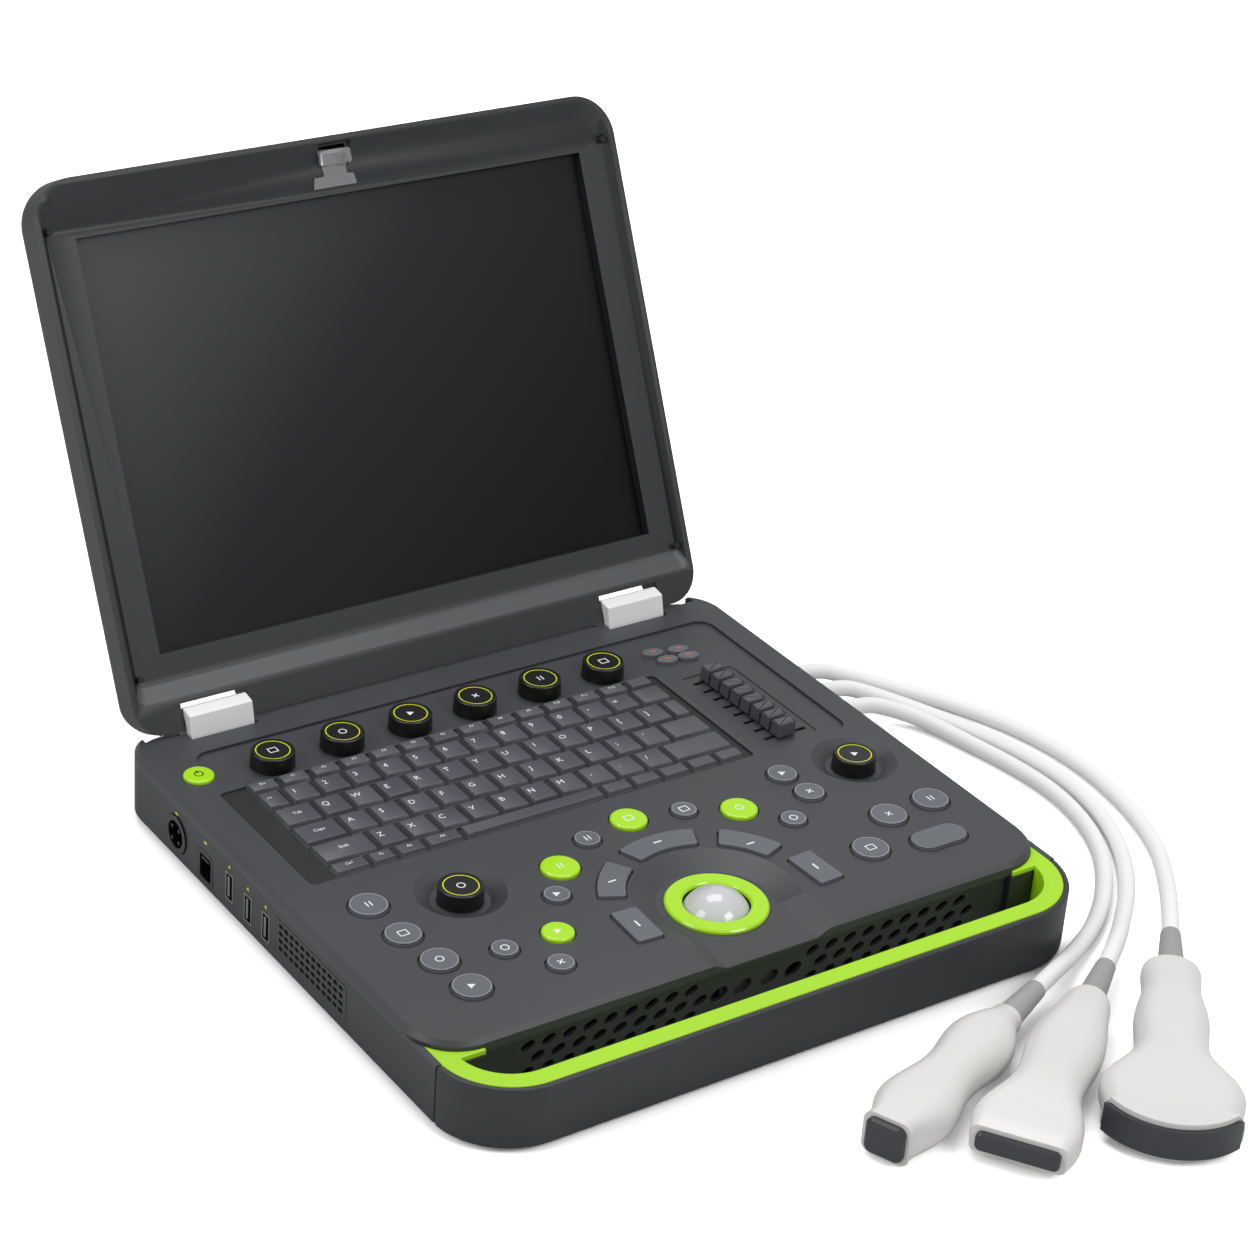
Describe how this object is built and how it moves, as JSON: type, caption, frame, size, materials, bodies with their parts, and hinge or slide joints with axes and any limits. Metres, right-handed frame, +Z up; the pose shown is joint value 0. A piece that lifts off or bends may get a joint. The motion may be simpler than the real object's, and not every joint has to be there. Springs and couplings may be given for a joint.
{
  "type": "portable ultrasound scanner",
  "caption": "Laptop-style ultrasound console with lid display, key and knob panel, carry handle and corded probes.",
  "frame": {"origin": "on the table under the middle of the box of the console, its open lid and the probes in front", "axes": "+X to the right of someone at the keyboard, +Y from the keyboard to the lid, +Z up"},
  "size_m": [0.4841, 0.6462, 0.3018],
  "materials": {
    "charcoal": "fine satin moulded",
    "grey_panel": "fine textured",
    "key_grey": "satin",
    "black": "satin",
    "lime": "gloss",
    "lime_soft": "satin",
    "pale_grey": "gloss",
    "white": "satin",
    "probe_white": "soft gloss",
    "relief_grey": "matte",
    "cable_grey": "satin",
    "lens_grey": "satin",
    "foot_rubber": "matte",
    "steel": "brushed",
    "screen": "glossy",
    "clear": "clear",
    "board_green": "satin",
    "socket_metal": "satin"
  },
  "bodies": {
    "root": {"battery_pack": "black", "carry_handle": "charcoal", "control_panel": "grey_panel", "convex_probe_cable": "cable_grey", "convex_probe_lens": "lens_grey", "convex_probe_plug": "relief_grey", "convex_probe_shell": "probe_white", "convex_strain_relief": "relief_grey", "cooling_fan": "black", "dc_power_socket": "socket_metal", "front_vent_panel": "charcoal", "handle_liner": "lime_soft", "hinge_covers": "white", "hinge_pins": "steel", "housing_screws": "steel", "keyboard": "key_grey", "lime_buttons": "lime", "linear_probe_cable": "cable_grey", "linear_probe_lens": "lens_grey", "linear_probe_plug": "relief_grey", "linear_probe_shell": "probe_white", "linear_strain_relief": "relief_grey", "lower_housing": "charcoal", "main_board": "board_green", "network_socket": "black", "oval_keys": "key_grey", "panel_buttons": "key_grey", "phased_probe_cable": "cable_grey", "phased_probe_lens": "lens_grey", "phased_probe_plug": "relief_grey", "phased_probe_shell": "probe_white", "phased_strain_relief": "relief_grey", "probe_sockets": "black", "rubber_feet": "foot_rubber", "side_vent_grille": "charcoal", "trackball_ring": "lime", "usb_sockets": "socket_metal"},
    "lid": {"lid_back_cover": "charcoal", "lid_bezel": "charcoal", "display_panel": "screen", "lid_bumpers": "foot_rubber"},
    "latch": {"lid_latch": "clear"},
    "power_key": {"power_button": "lime"},
    "ball": {"trackball": "pale_grey"},
    "knob_1": {"knob_1": "black"},
    "knob_2": {"knob_2": "black"},
    "knob_3": {"knob_3": "black"},
    "knob_4": {"knob_4": "black"},
    "knob_5": {"knob_5": "black"},
    "knob_6": {"knob_6": "black"},
    "knob_7": {"knob_7": "black"},
    "knob_8": {"knob_8": "black"},
    "gain_slider_1": {"gain_slider_1": "key_grey"},
    "gain_slider_2": {"gain_slider_2": "key_grey"},
    "gain_slider_3": {"gain_slider_3": "key_grey"},
    "gain_slider_4": {"gain_slider_4": "key_grey"},
    "gain_slider_5": {"gain_slider_5": "key_grey"},
    "gain_slider_6": {"gain_slider_6": "key_grey"},
    "gain_slider_7": {"gain_slider_7": "key_grey"},
    "gain_slider_8": {"gain_slider_8": "key_grey"}
  },
  "joints": [
    {"name": "lid_hinge", "type": "hinge", "parent": "root", "child": "lid", "pos_m": [-0.01793, 0.18242, 0.0435], "axis": [1, 0, 0], "range_deg": [-25, 115.9]},
    {"name": "latch_slide", "type": "slide", "parent": "lid", "child": "latch", "axis": [0, 0.4368, 0.8996], "range_m": [0, 0.003], "stiffness_N_per_m": 300, "springref_m": -0.0005},
    {"name": "power_press", "type": "slide", "parent": "root", "child": "power_key", "axis": [0, 0, -1], "range_m": [0, 0.0012], "stiffness_N_per_m": 1500, "springref_m": -0.0003},
    {"name": "ball_spin", "type": "hinge", "parent": "root", "child": "ball", "pos_m": [-0.01093, -0.07758, 0.0241], "axis": [0, 0, 1], "continuous": true},
    {"name": "knob_1_turn", "type": "hinge", "parent": "root", "child": "knob_1", "pos_m": [-0.14193, 0.13242, 0.042], "axis": [0, 0, 1], "continuous": true},
    {"name": "knob_2_turn", "type": "hinge", "parent": "root", "child": "knob_2", "pos_m": [-0.10093, 0.13242, 0.042], "axis": [0, 0, 1], "continuous": true},
    {"name": "knob_3_turn", "type": "hinge", "parent": "root", "child": "knob_3", "pos_m": [-0.05993, 0.13242, 0.042], "axis": [0, 0, 1], "continuous": true},
    {"name": "knob_4_turn", "type": "hinge", "parent": "root", "child": "knob_4", "pos_m": [-0.01993, 0.13242, 0.042], "axis": [0, 0, 1], "continuous": true},
    {"name": "knob_5_turn", "type": "hinge", "parent": "root", "child": "knob_5", "pos_m": [0.02107, 0.13242, 0.042], "axis": [0, 0, 1], "continuous": true},
    {"name": "knob_6_turn", "type": "hinge", "parent": "root", "child": "knob_6", "pos_m": [0.06207, 0.13242, 0.042], "axis": [0, 0, 1], "continuous": true},
    {"name": "knob_7_turn", "type": "hinge", "parent": "root", "child": "knob_7", "pos_m": [-0.11993, -0.01558, 0.04], "axis": [0, 0, 1], "continuous": true},
    {"name": "knob_8_turn", "type": "hinge", "parent": "root", "child": "knob_8", "pos_m": [0.12907, -0.00558, 0.04], "axis": [0, 0, 1], "continuous": true},
    {"name": "gain_slider_1_slide", "type": "slide", "parent": "root", "child": "gain_slider_1", "axis": [1, 0, 0], "range_m": [-0.006, 0.009]},
    {"name": "gain_slider_2_slide", "type": "slide", "parent": "root", "child": "gain_slider_2", "axis": [1, 0, 0], "range_m": [-0.006, 0.009]},
    {"name": "gain_slider_3_slide", "type": "slide", "parent": "root", "child": "gain_slider_3", "axis": [1, 0, 0], "range_m": [-0.006, 0.009]},
    {"name": "gain_slider_4_slide", "type": "slide", "parent": "root", "child": "gain_slider_4", "axis": [1, 0, 0], "range_m": [-0.006, 0.009]},
    {"name": "gain_slider_5_slide", "type": "slide", "parent": "root", "child": "gain_slider_5", "axis": [1, 0, 0], "range_m": [-0.006, 0.009]},
    {"name": "gain_slider_6_slide", "type": "slide", "parent": "root", "child": "gain_slider_6", "axis": [1, 0, 0], "range_m": [-0.006, 0.009]},
    {"name": "gain_slider_7_slide", "type": "slide", "parent": "root", "child": "gain_slider_7", "axis": [1, 0, 0], "range_m": [-0.006, 0.009]},
    {"name": "gain_slider_8_slide", "type": "slide", "parent": "root", "child": "gain_slider_8", "axis": [1, 0, 0], "range_m": [-0.006, 0.009]}
  ]
}
